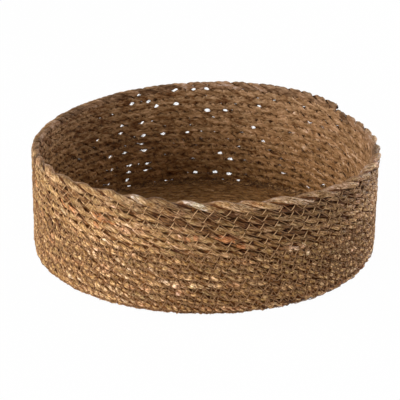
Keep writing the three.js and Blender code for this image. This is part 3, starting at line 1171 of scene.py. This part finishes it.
def painted_shade_and_patches(m, colour, outer, top_share):
    """The leaf's colour with the painted shade of its dark folds, its patches, and what is less pale: painted
    shade on the inside and at the top, and a change at the foot. top_share is what painted shade leaves of
    the colour on the outside at the top, which is less so on the left."""
    deep = m.map_range(m.attribute("hollow"), *FOLD_DARKENS, "SMOOTHSTEP")
    colour = m.left_of(colour, PAINTED_DARK_SHARE, deep)
    colour = m.left_of(colour, INSIDE_SHARE, 1 - outer)
    height = m.position("Z") * (1 / HEIGHT)
    colour = m.left_of(colour, LOW_SHARE, (1 - height) * (1 - OUTSIDE_SPARED * outer))
    high = m.map_range(height, *TOP_DARKENS)
    right = m.map_range(m.position("X"), *RIGHT_DARKENS)
    colour = m.left_of(colour, top_share, high * right * outer)
    patches = m.ramp(m.noise(m.along_rows(*PATCH)), PATCH_PLACES, PATCH_COLOURS)
    return m.mix(outer, colour, m.mix(1.0, colour, patches, "MULTIPLY"))


def seagrass(name, colours, top_share):
    """Dried leaf, with long fibres, blotches, flecks and creases, whose dark is painted shade."""
    material, m = new_material(name)
    tone = m.attribute("tone")
    outer = m.attribute("outer")
    blotch, fleck, streak = (m.mark(tone, *mark) for mark in (BLOTCH, FLECK, STREAK))
    crease = m.math("COMPARE", streak, 0.5, CREASE_WIDTH)
    frayed = (1 - outer) * (m.noise(m.along_rows(*FRAY), *FRAY_NOISE) - 0.5)
    toned = tone + BLOTCH_TONE * (blotch - 0.5) + FRAYED_TONE * frayed
    # Painted shade in the creases
    fine = FLECK_LIGHT * (fleck - 0.5) + STREAK_LIGHT * (streak - 0.5) - CREASE_DARK * crease
    light = LIGHT + BLOTCH_LIGHT * (blotch - 0.5) + FRAYED_LIGHT * frayed
    light = light + (FINE_INSIDE + (1 - FINE_INSIDE) * outer) * fine
    colour = m.lit(m.ramp(toned, TONE_PLACES, [rgb(*c) for c in colours]), light)
    fibres = outer * (0.5 * streak + 0.5 * fleck)
    roughness = LEAF_ROUGHNESS + STREAK_ROUGHNESS * streak
    m.surface(painted_shade_and_patches(m, colour, outer, top_share), roughness, LEAF_GLOSS, fibres, *LEAF_BUMP)
    return material


def twisted_thread(name, dark, pale):
    """Two-strand thread, whose colour drifts along it."""
    material, m = new_material(name)
    sockets = {"Vector": m.fibre(*TWIST, 0.0), "Scale": TWIST_SCALE}
    strand = m.node("TexWave", {"bands_direction": "DIAGONAL"}, sockets, "Fac")
    drift = m.noise(m.fibre(*DRIFT, 0.0))
    colour = m.lit(m.mix(drift, rgb(*dark), rgb(*pale)), STRAND_DARK + STRAND_LIGHT * strand)
    # Painted shade on the legs that lie between the leaves
    colour = m.left_of(colour, PAINTED_DARK_SHARE, m.attribute("hollow"))
    m.surface(colour, THREAD_ROUGHNESS, THREAD_GLOSS, strand, *THREAD_BUMP)
    return material


# Assembly

WALL_SIDES, WALL_STEP = 15, 0.0008
BASE_SIDES, BASE_STEP = 12, 0.0022
RIM_SIDES, RIM_STEP = 24, 0.0010
WALL_PARTS = ("top", "high", "upper", "lower", "low", "bottom")
BASE_SPLIT = (HEEL_TURNS + ALL_TURNS) / 2 - 2  # nearer the heel, where a round is longer


def build_cord():
    wall, base = (seagrass(f"seagrass_{where}", WALL_COLOURS, TOP_SHARE) for where in ("wall", "base"))
    rim = seagrass("seagrass_rim", RIM_COLOURS, WHITE)
    ends = np.linspace(1, WALL_TURNS, len(WALL_PARTS) + 1)
    ends[0] -= SPLICE
    stretches = [("rim_cord_round", "rim", 0, 1, RIM_SIDES, RIM_STEP, rim)]
    for name, top, bottom in zip(WALL_PARTS, ends[:-1], ends[1:]):
        stretches.append((f"wall_cord_{name}_rows", "wall", top, bottom, WALL_SIDES, WALL_STEP, wall))
    stretches += [
        ("heel_cord_rows", "heel", WALL_TURNS, HEEL_TURNS, WALL_SIDES, WALL_STEP, wall),
        ("base_cord_outer_rows", "base", HEEL_TURNS, BASE_SPLIT, BASE_SIDES, BASE_STEP, base),
        ("base_cord_inner_rows", "base", BASE_SPLIT, ALL_TURNS, BASE_SIDES, BASE_STEP, base),
    ]
    for name, where, top, bottom, sides, step, material in stretches:
        shell = cord_stretch(RIM_CORD if where == "rim" else WALL_CORD, top, bottom, sides, step)
        piece(name, shell, material, f"seagrass_{where}", f"{where}_cord")


def build_threads():
    heel = ("heel", WALL_TURNS + 1, HEEL_TURNS + 1)
    base = ("base", HEEL_TURNS + 1, ALL_TURNS)
    first_places = (("rim", 1, 2), ("wall", 2, WALL_TURNS + 1), heel, base)
    second_places = (("wall", SECOND_TOP, WALL_TURNS + 1), heel)
    passes = ((FIRST_PASS, "first", first_places), (SECOND_PASS, "second", second_places))
    for face, kind, colours in ((1, "needle_thread", NEEDLE_COLOURS), (-1, "bobbin_thread", BOBBIN_COLOURS)):
        material = twisted_thread(kind, *colours)
        for stitching, pass_name, places in passes:
            for where, first, last in places:
                shell = thread_stretch(stitching, first, last, face)
                name = f"{where}_{kind}_{pass_name}_pass"
                piece(name, shell, material, "sewing_thread", f"{where}_{kind}")


# Studio

BACKGROUND_RAYS = ("Camera", "Glossy", "Transmission")
FLOOR_SIZE = 6
FLOOR_DROP = 0.0004  # below the basket
FLOOR_COLOUR = (0.9, 0.9, 0.9, 1)
FLOOR_GLOW = 0.98  # share of the floor's look that is plain white, so that the shadow on it stays faint
WORLD_STRENGTH = 0.10
LAMP_DISTANCE = 1.6
LAMP_SIZE = 0.7
# Name, azimuth from +X towards +Y and elevation in degrees, and watts
LAMPS = (
    ("low_front_left", -130, 8, 20.5),
    ("low_behind_right", 45, 8, 16),
    ("high_front_left", -135, 35, 4.5),
    ("high_left", 180, 35, 12),
    ("high_right", 0, 30, 7),
    ("low_right", 0, 5, 5.5),
    ("high_behind_right", 45, 35, 3),
)


def build_floor():
    """A white floor, which looks a little lighter than the light it gives the basket, with its shadow."""
    bpy.ops.mesh.primitive_plane_add(size=FLOOR_SIZE, location=(0, 0, -FLOOR_DROP))
    floor = bpy.context.object
    floor.name = "studio_floor"
    material, m = new_material("studio_white")
    matt = m.node("BsdfDiffuse", {}, {"Color": FLOOR_COLOUR})
    white = m.node("Emission", {}, {"Strength": 1.0})
    both = m.node("MixShader", {}, {0: m.background_ray() * FLOOR_GLOW, 1: matt, 2: white})
    m.node("OutputMaterial", {}, {"Surface": both})
    floor.data.materials.append(material)


def build_light():
    world = bpy.data.worlds.new("studio")
    bpy.context.scene.world = world
    world.use_nodes = True
    m = Finish(world.node_tree)
    soft = m.node("Background", {}, {"Strength": WORLD_STRENGTH})
    white = m.node("Background", {}, {"Strength": 1.0})
    both = m.node("MixShader", {}, {0: m.background_ray(), 1: soft, 2: white})
    m.node("OutputWorld", {}, {"Surface": both})
    for name, azimuth, elevation, power_in_watts in LAMPS:
        data = bpy.data.lights.new(name, "AREA")
        data.energy = power_in_watts
        data.shape = "RECTANGLE"
        data.size = data.size_y = LAMP_SIZE
        lamp = add_object(name, data)
        lamp.visible_camera = False
        a, e = math.radians(azimuth), math.radians(elevation)
        way = Vector((math.cos(e) * math.cos(a), math.cos(e) * math.sin(a), math.sin(e)))
        lamp.location = Vector((0, 0, HEIGHT / 2)) + LAMP_DISTANCE * way
        lamp.rotation_euler = way.to_track_quat("Z", "Y").to_euler()


def build_camera():
    data = bpy.data.cameras.new("camera")
    data.sensor_width = SENSOR
    data.lens = SENSOR * FOCAL_PIXELS / PICTURE_SIDE
    camera = add_object("camera", data)
    start, turn = camera_place()
    camera.matrix_world = Matrix.Translation(start) @ turn.to_4x4()
    bpy.context.scene.camera = camera


build_camera()
build_light()
build_floor()
build_cord()
build_threads()
bpy.context.scene.view_settings.view_transform = "Standard"
bpy.context.view_layer.update()
